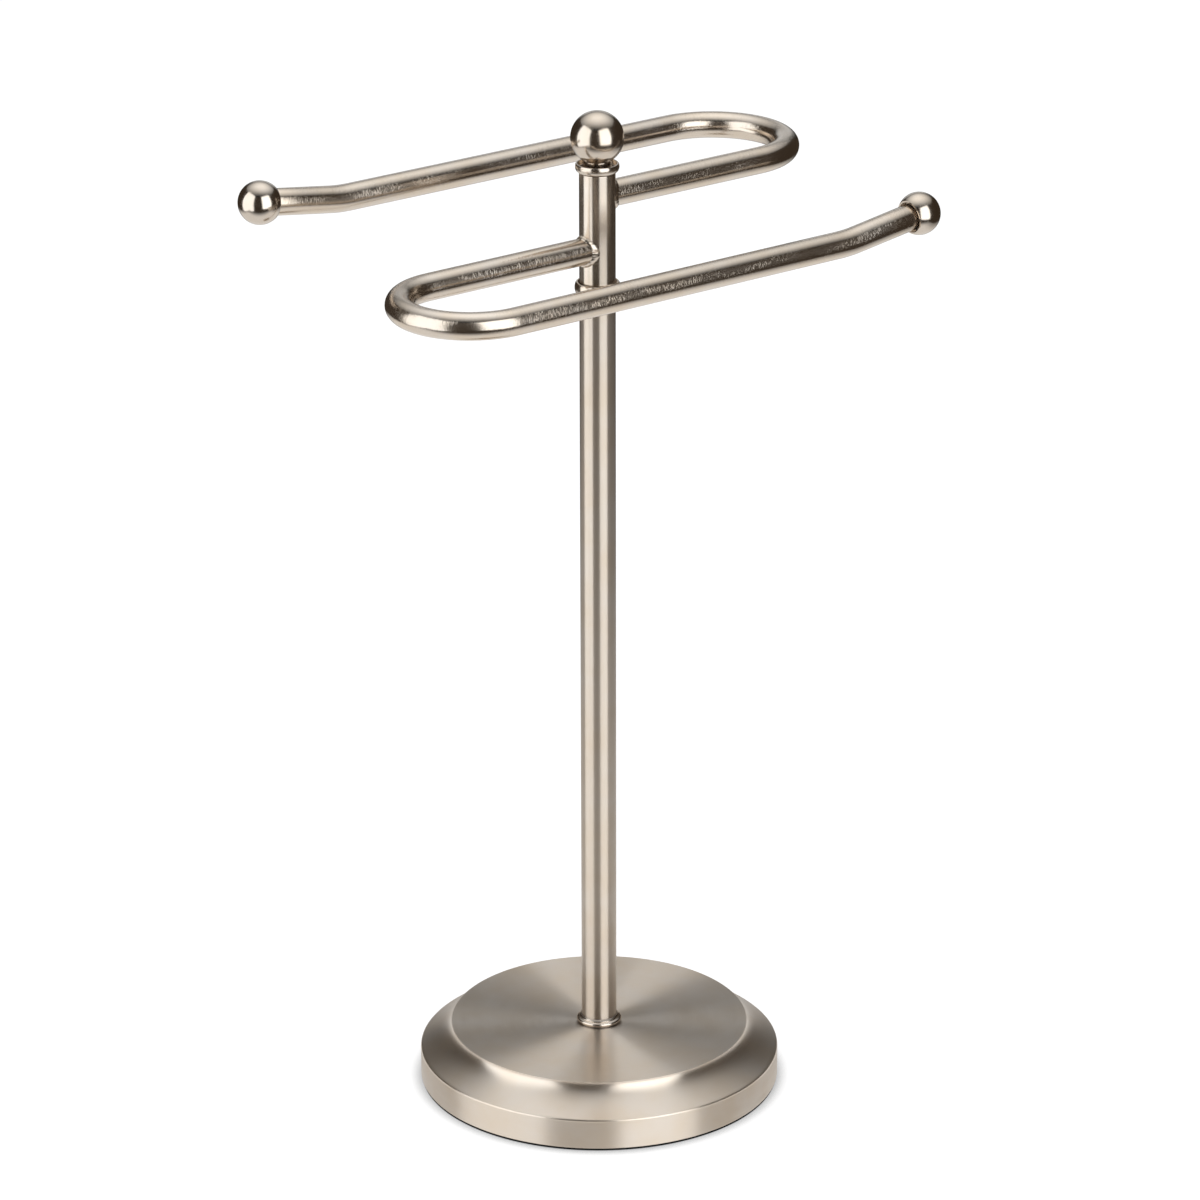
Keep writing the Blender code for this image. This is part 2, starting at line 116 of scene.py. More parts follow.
ARM_WALL = 0.0010
CLEAR = 0.0003


# --- outlines and meshes ----------------------------------------------------------------------


def rounded(corners, closed=False):
    """An outline through (r, z, fillet) corners, each fillet an arc with a support point
    either side of it, so that smooth shading keeps flat faces flat."""
    count = len(corners)
    points = []
    for i, (r, z, fillet) in enumerate(corners):
        here = Vector((r, z))
        if fillet <= 0.0 or (not closed and i in (0, count - 1)):
            points.append(here)
            continue
        before = Vector(corners[i - 1][:2]) - here
        after = Vector(corners[(i + 1) % count][:2]) - here
        half = before.angle(after) / 2
        reach = min(fillet / tan(half), 0.45 * before.length, 0.45 * after.length)
        start = here + before.normalized() * reach
        end = here + after.normalized() * reach
        if before.length > 3 * reach + SUPPORT:
            points.append(start + before.normalized() * SUPPORT)
        for k in range(FILLET_STEPS + 1):
            t = k / FILLET_STEPS
            points.append((1 - t) ** 2 * start + 2 * t * (1 - t) * here + t * t * end)
        if after.length > 3 * reach + SUPPORT:
            points.append(end + after.normalized() * SUPPORT)
    return [(p.x, p.y) for p in points]


def ellipse(centre, radii, start, end, steps):
    """Points (r, z) on an ellipse, from start to end in degrees."""
    angles = [radians(start + (end - start) * i / steps) for i in range(steps + 1)]
    return [(centre[0] + radii[0] * cos(a), centre[1] + radii[1] * sin(a)) for a in angles]


def skin(name, rings, lengths, loop=False, capped=False):
    """A mesh over rings of points. Its UV map "grain" holds the distance along the rings,
    in metres, and the share of a turn round them."""
    sides = len(rings[0])
    verts = [p for ring in rings for p in ring]
    faces, uvs = [], []
    spans = list(range(len(rings) - 1)) + ([len(rings) - 1] if loop else [])
    for i in spans:
        j = (i + 1) % len(rings)
        u0, u1 = lengths[i], lengths[i + 1]
        for k in range(sides):
            n = (k + 1) % sides
            faces.append((i * sides + k, i * sides + n, j * sides + n, j * sides + k))
            v0, v1 = k / sides, (k + 1) / sides
            uvs += [(u0, v0), (u0, v1), (u1, v1), (u1, v0)]
    if capped:
        faces.append(tuple(reversed(range(sides))))
        faces.append(tuple((len(rings) - 1) * sides + k for k in range(sides)))
        uvs += [(lengths[0], 0.0)] * sides + [(lengths[-1], 0.0)] * sides
    mesh = bpy.data.meshes.new(name)
    mesh.from_pydata([tuple(v) for v in verts], [], faces)
    layer = mesh.uv_layers.new(name="grain")
    layer.data.foreach_set("uv", [c for uv in uvs for c in uv])
    mesh.validate()
    mesh.shade_smooth()
    return mesh


def face_out(mesh):
    """Turns the faces outwards if the closed mesh came out inside out."""
    volume = sum(
        mesh.vertices[p.vertices[0]].co.dot(
            mesh.vertices[p.vertices[1]].co.cross(mesh.vertices[p.vertices[2]].co)
        )
        + mesh.vertices[p.vertices[0]].co.dot(
            mesh.vertices[p.vertices[2]].co.cross(mesh.vertices[p.vertices[-1]].co)
        ) * (len(p.vertices) == 4)
        for p in mesh.polygons
    )
    if volume < 0:
        mesh.flip_normals()


def running_lengths(points):
    lengths = [0.0]
    for a, b in zip(points, points[1:]):
        lengths.append(lengths[-1] + (Vector(b) - Vector(a)).length)
    return lengths


def turned_mesh(name, outline, sides=TURNED_SIDES, closed=True, wave=None):
    """A turned mesh about Z. A closed outline leaves a bore; an open one starts and ends
    near the axis. wave(angle, index) may change a point's radius, for knurls and threads."""
    angles = [2 * pi * k / sides for k in range(sides)]
    rings = []
    for i, (r, z) in enumerate(outline):
        ring = []
        for a in angles:
            radius = r + (wave(a, i) if wave else 0.0)
            ring.append(Vector((radius * cos(a), radius * sin(a), z)))
        rings.append(ring)
    path = outline + [outline[0]] if closed else outline
    mesh = skin(name, rings, running_lengths(path), loop=closed, capped=not closed)
    face_out(mesh)
    return mesh


def link_new(name, data):
    """A new object with that data, in the scene."""
    obj = bpy.data.objects.new(name, data)
    bpy.context.scene.collection.objects.link(obj)
    return obj


def add_piece(name, mesh, body, material, place=AXIS_Z):
    """Links a finished mesh as a piece that rides on a body and stands for its CAD node."""
    mesh.transform(place)
    mesh.set_sharp_from_angle(angle=SMOOTH_ANGLE)
    obj = link_new(name, mesh)
    mesh.materials.append(material)
    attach(obj, body)
    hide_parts(name.removesuffix("_fine"))


# --- materials --------------------------------------------------------------------------------


class Nodes:
    """Short helper for building a node tree."""

    def __init__(self, tree):
        self.tree = tree
        tree.nodes.clear()

    def add(self, kind, inputs=(), **settings):
        node = self.tree.nodes.new(kind)
        for key, value in settings.items():
            setattr(node, key, value)
        for key, value in dict(inputs).items():
            if isinstance(value, bpy.types.NodeSocket):
                self.tree.links.new(value, node.inputs[key])
            else:
                node.inputs[key].default_value = value
        return node

    def math(self, operation, a, b=0.0):
        return self.add("ShaderNodeMath", {0: a, 1: b}, operation=operation).outputs[0]

    def span(self, value, low, high, to_low, to_high):
        return self.add(
            "ShaderNodeMapRange",
            {"Value": value, "From Min": low, "From Max": high, "To Min": to_low, "To Max": to_high},
        ).outputs[0]

    def noise(self, vector, scale, detail=3.0, roughness=0.55):
        return self.add(
            "ShaderNodeTexNoise",
            {"Vector": vector, "Scale": scale, "Detail": detail, "Roughness": roughness},
        ).outputs["Fac"]

    def grain_vector(self, along, around):
        """Seamless coordinates: along the piece and round it, each with its own density."""
        uv = self.add("ShaderNodeUVMap", uv_map="grain").outputs[0]
        split = self.add("ShaderNodeSeparateXYZ", {0: uv})
        turn = self.math("MULTIPLY", split.outputs[1], 2 * pi)
        x = self.math("MULTIPLY", split.outputs[0], along)
        y = self.math("MULTIPLY", self.math("COSINE", turn), around)
        z = self.math("MULTIPLY", self.math("SINE", turn), around)
        return self.add("ShaderNodeCombineXYZ", {0: x, 1: y, 2: z}).outputs[0]

    def object_vector(self):
        return self.add("ShaderNodeTexCoord").outputs["Object"]

    def bump(self, height, strength, distance):
        inputs = {"Height": height, "Strength": strength, "Distance": distance}
        return self.add("ShaderNodeBump", inputs).outputs[0]

    def mix(self, share, first, second):
        """A blend of two colours."""
        inputs = {0: share, 6: (*first, 1.0), 7: (*second, 1.0)}
        return self.add("ShaderNodeMix", inputs, data_type="RGBA").outputs[2]

    def grain_tangent(self):
        return self.add("ShaderNodeTangent", direction_type="UV_MAP", uv_map="grain").outputs[0]

    def glow(self, color, strength):
        self.finish(self.add("ShaderNodeEmission", {"Color": (*color, 1.0), "Strength": strength}))

    def finish(self, shader):
        self.add("ShaderNodeOutputMaterial", {"Surface": shader.outputs[0]})


def new_material(name):
    mat = bpy.data.materials.new(name)
    mat.use_nodes = True
    return mat, Nodes(mat.node_tree)


MICRON = 0.000001
NICKEL = (0.650, 0.575, 0.500)
NICKEL_WARM = (0.640, 0.545, 0.446)


def nickel_color(n, patches, painted_light_scale):
    """Plating that is clean in places and slightly tarnished in others."""
    tone = n.span(patches, 0.35, 0.65, 0.0, 1.0)
    # The factor brightens or darkens the whole plating colour per part: painted light, lighter or darker
    # copies of one nickel standing in for how brightly each part is lit.
    return n.mix(tone, [c * painted_light_scale for c in NICKEL], [c * painted_light_scale for c in NICKEL_WARM])


def brushed_nickel(name, roughness, anisotropy, microns, line_density, line_turn, painted_light_scale):
    """Satin nickel with grooves round the piece, some microns deep: reflections spread along
    it, across the grooves. Fine lines, soft patches in the polish and faint tarnish vary it."""
    mat, n = new_material(name)
    lines = n.noise(n.grain_vector(line_density, line_turn), 1.0, detail=4.0, roughness=0.7)
    wide = n.noise(n.grain_vector(line_density * 0.12, line_turn * 0.5), 1.0, detail=2.0)
    patches = n.noise(n.object_vector(), 60.0, detail=3.0)
    rough = n.math("ADD", n.span(lines, 0.3, 0.7, roughness * 0.90, roughness * 1.08),
                   n.span(patches, 0.3, 0.7, -0.012, 0.012))
    height = n.math("ADD", lines, n.math("MULTIPLY", wide, 1.5))
    n.finish(n.add("ShaderNodeBsdfPrincipled", {
        "Base Color": nickel_color(n, patches, painted_light_scale),
        "Metallic": 1.0,
        "Roughness": rough,
        "Anisotropic": anisotropy,
        "Normal": n.bump(height, 1.0, microns * MICRON),
        "Tangent": n.grain_tangent(),
    }))
    return mat


def hatched_nickel(name, roughness, anisotropy, microns, painted_light_scale):
    """The arms' finish: fairly bright, with short scratches across the tube that come and go."""
    mat, n = new_material(name)
    hatch = n.noise(n.grain_vector(2600.0, 3.0), 1.0, detail=2.0, roughness=0.5)
    strokes = n.span(hatch, 0.50, 0.75, 0.0, 1.0)
    worn = n.span(n.noise(n.grain_vector(60.0, 1.2), 1.0, detail=2.0), 0.40, 0.62, 0.05, 1.0)
    marks = n.math("MULTIPLY", strokes, worn)
    patches = n.noise(n.object_vector(), 70.0, detail=3.0)
    rough = n.span(marks, 0.0, 1.0, roughness, roughness * 1.5)
    n.finish(n.add("ShaderNodeBsdfPrincipled", {
        "Base Color": nickel_color(n, patches, painted_light_scale),
        "Metallic": 1.0,
        "Roughness": rough,
        "Anisotropic": anisotropy,
        "Normal": n.bump(marks, 1.0, microns * MICRON),
        "Tangent": n.grain_tangent(),
    }))
    return mat


def polished_nickel(name, roughness, microns, painted_light_scale):
    """Semi-polished balls and beads: clear reflections with a slight orange peel and scuffs."""
    mat, n = new_material(name)
    where = n.object_vector()
    peel = n.noise(where, 420.0, detail=2.0)
    scuffs = n.noise(where, 1500.0, detail=4.0, roughness=0.7)
    patches = n.noise(where, 120.0, detail=3.0)
    rough = n.math("ADD", n.span(scuffs, 0.45, 0.75, roughness, roughness * 1.5),
                   n.span(patches, 0.4, 0.7, 0.0, 0.03))
    n.finish(n.add("ShaderNodeBsdfPrincipled", {
        "Base Color": nickel_color(n, patches, painted_light_scale),
        "Metallic": 1.0,
        "Roughness": rough,
        "Normal": n.bump(peel, 1.0, microns * MICRON),
    }))
    return mat


def pad_rubber():
    """Black foam rubber with fine pores."""
    mat, n = new_material("pad_foam")
    where = n.object_vector()
    pores = n.add("ShaderNodeTexVoronoi", {"Vector": where, "Scale": 1800.0}).outputs["Distance"]
    dust = n.noise(where, 90.0)
    dusty = n.span(dust, 0.4, 0.7, 0.0, 1.0)
    n.finish(n.add("ShaderNodeBsdfPrincipled", {
        "Base Color": n.mix(dusty, (0.012, 0.012, 0.013), (0.030, 0.029, 0.028)),
        "Roughness": n.span(dust, 0.3, 0.7, 0.75, 0.92),
        "Specular IOR Level": 0.08,
        "Normal": n.bump(pores, 0.6, 0.0002),
    }))
    return mat


def cast_iron():
    """Sand-cast grey iron, rough, with darker hollows."""
    mat, n = new_material("cast_iron_rough")
    where = n.object_vector()
    sand = n.noise(where, 900.0, detail=5.0, roughness=0.7)
    lumps = n.noise(where, 120.0, detail=3.0)
    color = n.mix(n.span(lumps, 0.35, 0.65, 0.0, 1.0), (0.07, 0.07, 0.07), (0.15, 0.14, 0.13))
    height = n.math("ADD", sand, n.math("MULTIPLY", lumps, 2.0))
    n.finish(n.add("ShaderNodeBsdfPrincipled", {
        "Base Color": color,
        "Metallic": 0.8,
        "Roughness": n.span(sand, 0.3, 0.7, 0.5, 0.8),
        "Normal": n.bump(height, 0.8, 0.0003),
    }))
    return mat


def machined(name, dark, light, roughness):
    """Turned or rolled metal of the hidden fasteners and inserts."""
    mat, n = new_material(name)
    lines = n.noise(n.grain_vector(5000.0, 2.0), 1.0, detail=3.0, roughness=0.7)
    stain = n.noise(n.object_vector(), 260.0, detail=3.0)
    n.finish(n.add("ShaderNodeBsdfPrincipled", {
        "Base Color": n.mix(n.span(stain, 0.3, 0.7, 0.0, 1.0), dark, light),
        "Metallic": 1.0,
        "Roughness": n.span(lines, 0.3, 0.7, roughness * 0.8, roughness * 1.2),
        "Normal": n.bump(lines, 0.5, 0.00002),
    }))
    return mat


# --- turned pieces ----------------------------------------------------------------------------


def hollow(start, bend, end, steps):
    """Points (r, z) on a hollow curve that leaves start and reaches end towards bend."""
    start, bend, end = Vector(start), Vector(bend), Vector(end)
    shares = [i / steps for i in range(steps + 1)]
    points = [(1 - t) ** 2 * start + 2 * t * (1 - t) * bend + t * t * end for t in shares]
    return [(p.x, p.y) for p in points]


def cover_outline(lo, hi, middle):
    """Skirt, crisp rim, hollow shoulder, thin lip and slightly dished top, with the sheet's
    inside. The top is at the height middle in its centre."""
    radius, top, bottom = hi.x, hi.z, lo.z
    neck = LIP_RADIUS - LIP_UNDERCUT

    def disc(r, drop=0.0):
        return (r, middle + (top - middle) * (r / LIP_RADIUS) ** 2 - drop)

    shoulder = hollow((radius - 0.0012, RIM_Z + 0.0006), SHOULDER_BEND, (neck, top - LIP_HEIGHT), 36)
    rim = rounded([(radius - COVER_WALL, bottom, 0.0), (radius, bottom, 0.0003),
                   (radius, RIM_Z, COVER_EDGE_FILLET), (*shoulder[0], 0.0)])
    lip = rounded([(neck, top - LIP_HEIGHT, 0.0), (LIP_RADIUS, top - LIP_HEIGHT * 0.8, 0.00006),
                   (LIP_RADIUS, top, 0.00014), (*disc(LIP_RADIUS - 0.003), 0.0)])
    face = [disc(r) for r in (0.048, 0.044, 0.039, 0.033, 0.026, 0.018, 0.011)]
    hole = rounded([(*disc(0.008), 0.0), (*disc(M6_CLEARANCE), 0.0002),
                    (*disc(M6_CLEARANCE, COVER_WALL), 0.0002), (*disc(0.008, COVER_WALL), 0.0)])
    under = [disc(r, COVER_WALL) for r in (0.018, 0.033, 0.044)]
    inner_neck = neck - COVER_WALL
    corner = rounded([(*disc(inner_neck - 0.004, COVER_WALL), 0.0),
                      (*disc(inner_neck, COVER_WALL), 0.0006), (inner_neck, top - 0.0020, 0.0)])
    inside = hollow((inner_neck, top - 0.0022), SHOULDER_BEND - Vector((0.00085, 0.0006)),
                    (radius - 0.0016, RIM_Z - 0.0002), 20)
    return rim + shoulder[1:-1] + lip + face + hole + under + corner + inside + [
        (radius - COVER_WALL, RIM_Z - COVER_WALL)]


def collar_foot_outline(lo, hi, bore, dish):
    """Rounded bead with a groove and a small ring on top, dished for the post."""
    radius, low, top = hi.x, lo.z, hi.z
    half = FOOT_BEAD_HEIGHT / 2
    floor = low + FOOT_FLOOR
    foot = rounded([(bore, low, 0.0001), (radius - half, low, 0.0)])
    bead = ellipse((radius - half, low + half), (half, half), -62, 66, 18)
    ring = rounded([(FOOT_RING_RADIUS - 0.0001, low + 0.00195, 0.0),
                    (FOOT_RING_RADIUS, low + 0.0022, 0.0002),
                    (dish + 0.0002, top, 0.0002), (dish, top - 0.0003, 0.0001),
                    (dish, floor, 0.0002), (bore, floor, 0.0001)])
    return foot + bead + ring


def cup_outline(lo, hi, bore, tube, belly, floor):
    """Rounded collar that stands on a tube's end, open on top with a thin rolled rim."""
    radius, low, top = hi.x, lo.z, hi.z
    foot = tube + 0.0002
    rim = CUP_RADIUS + 0.0004
    outline = rounded([(bore, low, 0.0001), (foot - 0.0001, low, 0.0)])
    outline += ellipse((foot, low + belly), (radius - foot, belly), -87, 0, 16)
    outline += ellipse((rim, low + belly), (radius - rim, top - low - belly), 0, 84, 12)[1:]
    outline += rounded([(rim, top, 0.0), (CUP_RADIUS, top - 0.00003, 0.00018),
                        (CUP_RADIUS, low + floor, 0.0004), (bore, low + floor, 0.0001)])
    return outline


def pipe_outline(outer, inner, low, top, edge=0.00025):
    middle = (low + top) / 2
    return rounded([(inner, low, edge / 2), (outer, low, edge), (outer, middle, 0.0),
                    (outer, top, edge), (inner, top, edge / 2), (inner, middle, 0.0)],
                   closed=True)


def ball_outline(radius, low_angle, foot):
    """Half section of a ball from its top, down to low_angle, then the foot's corners."""
    return ellipse((0.0, 0.0), (radius, radius), 89.5, low_angle, BALL_RINGS) + foot


# --- bent arms --------------------------------------------------------------------------------


def arm_sizes(node):
    """Tube radius, bend radius, reach and height of an arm, from its node's box. The sign
    tells the upper arm (+1, turning back at +Y) from the lower one (-1, half a turn round)."""
    lo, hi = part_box(node)
    sign = 1.0 if hi.y > -lo.y else -1.0
    near, far = (-lo.y, hi.y) if sign > 0 else (hi.y, -lo.y)
    tube = near
    bend = (far - tube) / 2
    outermost = hi.x if sign > 0 else -lo.x
    return sign, tube, bend, outermost - bend - tube, lo.z + tube


def arm_route(bend, reach, end_x):
    """Centre line and directions in the arm's own frame, from the head to the arm's end."""
    route = []
    for share in (0.0, 0.25, 0.5, 0.75):
        route.append((Vector((reach * share, 0.0, 0.0)), Vector((1.0, 0.0, 0.0))))
    turn_steps = 72
    for i in range(turn_steps + 1):
        a = pi * i / turn_steps
        point = Vector((reach + bend * sin(a), bend - bend * cos(a), 0.0))
        route.append((point, Vector((cos(a), sin(a), 0.0))))
    tangent = KINK_RADIUS * tan(KINK_ANGLE / 2)
    start = Vector((tangent - KINK_X, 2 * bend, 0.0))
    for share in (0.2, 0.4, 0.6, 0.8):
        point = Vector((reach + (start.x - reach) * share, 2 * bend, 0.0))
        route.append((point, Vector((-1.0, 0.0, 0.0))))
    kink_steps = 10
    for i in range(kink_steps + 1):
        a = KINK_ANGLE * i / kink_steps
        point = start + Vector((-sin(a), 0.0, 1.0 - cos(a))) * KINK_RADIUS
        route.append((point, Vector((-cos(a), 0.0, sin(a)))))
    last, direction = route[-1]
    run = (-end_x - last.x) / direction.x
    route.append((last + direction * run * 0.5, direction))
    route.append((last + direction * run, direction))
    return route


def ring_about(point, direction, radius, sides):
    up = Vector((0.0, 0.0, 1.0))
    side = direction.cross(up).normalized()
    lift = side.cross(direction).normalized()
    angles = [2 * pi * k / sides for k in range(sides)]
    return [point + radius * (side * cos(a) + lift * sin(a)) for a in angles]


def coped(ring, saddle):
    """Moves a stub's end ring on to the round head tube."""
    return [Vector((sqrt(saddle * saddle - p.y * p.y), p.y, p.z)) for p in ring]


def arm_mesh(name, route, tube, saddle, edge=0.0002):
    """Bent tube with its coped end at the head and a small round edge at the other."""
    inner = tube - ARM_WALL
    outer_rings = []
    for i, (point, direction) in enumerate(route):
        ring = ring_about(point, direction, tube, TUBE_SIDES)
        outer_rings.append(coped(ring, saddle) if i == 0 else ring)
    end, direction = route[-1]
    outer_rings[-1] = ring_about(end - direction * edge, direction, tube, TUBE_SIDES)
    outer_rings.append(ring_about(end - direction * edge * 0.3, direction, tube - edge * 0.3,
                                  TUBE_SIDES))
    outer_rings.append(ring_about(end, direction, tube - edge, TUBE_SIDES))
    inner_rings = [ring_about(p, d, inner, TUBE_SIDES) for p, d in reversed(route)]
    inner_rings[-1] = coped(inner_rings[-1], saddle)
    rings = outer_rings + inner_rings
    centres = [sum(r, Vector()) / len(r) for r in rings]
    lengths = running_lengths(centres + [centres[0]])
    mesh = skin(name, rings, lengths, loop=True)
    face_out(mesh)
    return mesh


def braze_mesh(name, tube, head):
    """Bright filler round a stub: a slightly rippled, swelling fillet that follows the saddle
    and runs further along the stub at its sides."""
    turns, steps, feather = 288, 14, 0.00003
    rings = []
    for i in range(turns):
        a = 2 * pi * i / turns
        side = cos(a) ** 2
        ripple = 1.0 + 0.025 * sin(23 * a) + 0.05 * sin(5 * a + 1.0)
        on_head = (0.00090 - 0.00020 * side) * ripple
        on_arm = (0.0012 + 0.0003 * side) * ripple
        swell = (0.00008 + 0.00016 * side) * ripple
        ring = []
        for k in range(steps + 2):
            t = k / steps
            off, radius = feather, tube + feather
            if k <= steps:
                off += on_arm * t + swell * sin(pi * t)
                radius += on_head * (1 - t) + swell * sin(pi * t)
            y = radius * cos(a)
            ring.append(Vector((sqrt(head * head - y * y) + off, y, radius * sin(a))))
        rings.append(ring)
    centres = [sum(r, Vector()) / len(r) for r in rings]
    mesh = skin(name, rings, running_lengths(centres + [centres[0]]), loop=True)
    face_out(mesh)
    return mesh


# --- threads, inserts and fasteners -----------------------------------------------------------


def thread_wave(pitch, depth, zs, low, high):
    """Radius change of a V thread with run-outs at both ends."""
    def wave(angle, index):
        z = zs[index]
        fade = max(0.0, min(1.0, (z - low) / pitch, (high - z) / pitch))
        phase = (z / pitch - angle / (2 * pi)) % 1.0
        return -depth * fade * abs(2 * phase - 1.0)
    return wave


def threaded_rod_mesh(name, radius, low, high, pitch):
    """Solid bar with an outside thread."""
    steps = max(8, round((high - low) / pitch * 8))
    chamfer = pitch * 0.6
    shank = [(radius - chamfer * 0.6, low), (radius, low + chamfer)]
    shank += [(radius, low + chamfer + (high - low - 2 * chamfer) * i / steps)
              for i in range(1, steps)]
    shank += [(radius, high - chamfer), (radius - chamfer * 0.6, high)]
    tip = [(radius * 0.45, high + 0.00001), (NEAR_AXIS, high + 0.00002)]
    start = [(NEAR_AXIS, low - 0.00002), (radius * 0.45, low - 0.00001)]
    outline = start + shank + tip
    zs = [z for _, z in outline]
    thread = thread_wave(pitch, 0.54 * pitch, zs, low + chamfer, high - chamfer)
    plain = range(len(start))
    return turned_mesh(name, outline, sides=40, closed=False,
                       wave=lambda a, i: 0.0 if i in plain else thread(a, i))


def insert_mesh(name, radius, bore, low, high, pitch, teeth):
    """Brass bush: two knurled bands outside with a groove between, threaded inside."""
    mid = (low + high) / 2
    groove = 0.0006
    knurl = 0.00014
    outer = [(radius - 0.0003, low), (radius, low + 0.0004)]
    outer += [(radius, low + 0.0006 + (mid - groove - low - 0.0006) * i / 6) for i in range(7)]
    outer += [(radius - 0.0004, mid - groove * 0.5), (radius - 0.0004, mid + groove * 0.5)]
    outer += [(radius, mid + groove + (high - 0.0006 - mid - groove) * i / 6) for i in range(7)]
    outer += [(radius, high - 0.0004), (radius - 0.0003, high)]
    steps = max(8, round((high - low) / pitch * 8))
    inner = [(bore + 0.0004, high), (bore, high - 0.0004)]
    inner += [(bore, high - 0.0004 - (high - low - 0.0008) * i / steps) for i in range(1, steps)]
    inner += [(bore, low + 0.0004), (bore + 0.0004, low)]
    outline = outer + inner
    zs = [z for _, z in outline]
    thread = thread_wave(pitch, 0.3 * pitch, zs, low + 0.0004, high - 0.0004)
    ribbed = {i for i, (r, _) in enumerate(outer) if r == radius}

    def wave(angle, index):
        if index >= len(outer):
            return thread(angle, index) + 0.3 * pitch * 0.5
        return -knurl * (0.5 - 0.5 * cos(teeth * angle)) if index in ribbed else 0.0

    return turned_mesh(name, outline, sides=120, wave=wave)


def hexagon(angle, flats):
    """Radius of a hexagon of that width across flats at an angle."""
    return flats / 2 / cos((angle + pi / 6) % (pi / 3) - pi / 6)


def bolt_mesh(name, lo, hi):
    """Hexagon bolt with a chamfered head and a rolled thread."""
    radius, flats = M6_CORE, hi.x - lo.x
    head_top = lo.z + BOLT_HEAD
    head_corner = flats / 2 / cos(pi / 6)
    outline = [(NEAR_AXIS, lo.z), (flats * 0.36, lo.z), (flats * 0.46, lo.z + 0.00005),
               (head_corner, lo.z + 0.0007), (head_corner, head_top - 0.0002),
               (head_corner - 0.0002, head_top), (radius + 0.0005, head_top),
               (radius, head_top + 0.0003)]
    edge = {3, 4, 5}
    plain = len(outline)
    low, high = head_top + 0.0003, hi.z
    steps = round((high - low) / M6_PITCH * 8)
    outline += [(radius, low + (high - low - 0.0008) * i / steps) for i in range(1, steps + 1)]
    outline += [(radius - 0.0006, high), (NEAR_AXIS, high + 0.00002)]
    zs = [z for _, z in outline]
    thread = thread_wave(M6_PITCH, 0.54 * M6_PITCH, zs, low + 0.006, high - 0.0008)

    def wave(angle, index):
        if index in edge:
            return min(0.0, hexagon(angle, flats) - outline[index][0])
        return 0.0 if index < plain else thread(angle, index)

    return turned_mesh(name, outline, sides=72, closed=False, wave=wave)


def lock_washer_mesh(name, lo, hi, bore):
    """Split spring washer, its cut ends a little out of line."""
    outer, thickness = hi.x, hi.z - lo.z
    steps, split, rise = 96, radians(12), thickness * 0.12
    body_height = thickness - rise
    corners = rounded([(bore, 0.0, 0.00012), (outer, 0.0, 0.00012),
                       (outer, body_height, 0.00012), (bore, body_height, 0.00012)], closed=True)
    rings = []
    for i in range(steps + 1):
        a = (2 * pi - split) * i / steps
        lift = lo.z + rise * i / steps
        rings.append([Vector((r * cos(a), r * sin(a), z + lift)) for r, z in corners])
    centres = [sum(r, Vector()) / len(r) for r in rings]
    mesh = skin(name, rings, running_lengths(centres), capped=True)
    face_out(mesh)
    return mesh


# --- assembly ---------------------------------------------------------------------------------


def make_base(mats):
    pad_lo, pad_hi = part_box("base_pad")
    pad = rounded([(PAD_HOLE, pad_lo.z, 0.0002), (pad_hi.x, pad_lo.z, 0.0003),
                   (pad_hi.x, pad_hi.z, 0.0003), (PAD_HOLE, pad_hi.z, 0.0002)], closed=True)
    add_piece("base_pad_fine", turned_mesh("base_pad_fine", pad), "stand", mats["pad"])
    cover = cover_outline(*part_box("base_cover"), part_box("foot_collar")[0].z - CLEAR)
    shell = turned_mesh("base_cover_fine", cover, sides=256)
    add_piece("base_cover_fine", shell, "stand", mats["spun"])
    shell.materials.append(mats["buffed"])
    shell.materials.append(mats["skirt"])
    # Shoulder and skirt faces take their own nickel copies; besides their roughness and groove depth,
    # these are painted brighter than the top disc, as painted light.
    for face in shell.polygons:
        x, y, z = face.center
        if sqrt(x * x + y * y) > LIP_RADIUS - 0.0008:
            face.material_index = 1 if z > RIM_Z - COVER_EDGE_FILLET else 2
    lo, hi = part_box("base_weight")
    step = lo.z + WEIGHT_STEP
    pocket, depth = WEIGHT_POCKET
    weight = rounded([
        (pocket, lo.z, 0.0003), (hi.x, lo.z, 0.0006), (hi.x, step - 0.0005, 0.0008),
        (WEIGHT_BOSS + 0.0004, step, 0.0010), (WEIGHT_BOSS, hi.z, 0.0006),
        (M6_CLEARANCE, hi.z, 0.0003), (M6_CLEARANCE, lo.z + depth, 0.0002),
        (pocket, lo.z + depth, 0.0005)], closed=True)
    add_piece("base_weight_fine", turned_mesh("base_weight_fine", weight, sides=128), "stand",
              mats["iron"])
    lo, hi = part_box("base_flat_washer")
    washer = rounded([(M6_CLEARANCE, lo.z, 0.00012), (hi.x, lo.z, 0.0002), (hi.x, hi.z, 0.0002),
                      (M6_CLEARANCE, hi.z, 0.00012)], closed=True)
    add_piece("base_flat_washer_fine", turned_mesh("base_flat_washer_fine", washer, sides=96),
              "stand", mats["zinc"])
    lo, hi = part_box("base_lock_washer")
    add_piece("base_lock_washer_fine", lock_washer_mesh("base_lock_washer_fine", lo, hi, M6_CLEARANCE),
              "stand", mats["zinc"])
    lo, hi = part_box("base_bolt")
    add_piece("base_bolt_fine", bolt_mesh("base_bolt_fine", lo, hi), "stand",
              mats["zinc"])


def add_tube(node, body, material):
    lo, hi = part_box(node)
    name = node + "_fine"
    outline = pipe_outline(hi.x, hi.x - TUBE_WALL, lo.z, hi.z)
    add_piece(name, turned_mesh(name, outline, sides=96), body, material)


def add_bush(node, body, mats):
    """Threaded bush pressed into a tube."""
    lo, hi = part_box(node)
    name = node + "_fine"
    mesh = insert_mesh(name, hi.x, M6_BORE, lo.z, hi.z, M6_PITCH, 40)
    add_piece(name, mesh, body, mats["brass"])


def add_stud(node, body, mats):
    lo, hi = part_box(node)
    name = node + "_fine"
    mesh = threaded_rod_mesh(name, M6_CORE, lo.z, hi.z, M6_PITCH)
    add_piece(name, mesh, body, mats["zinc"])


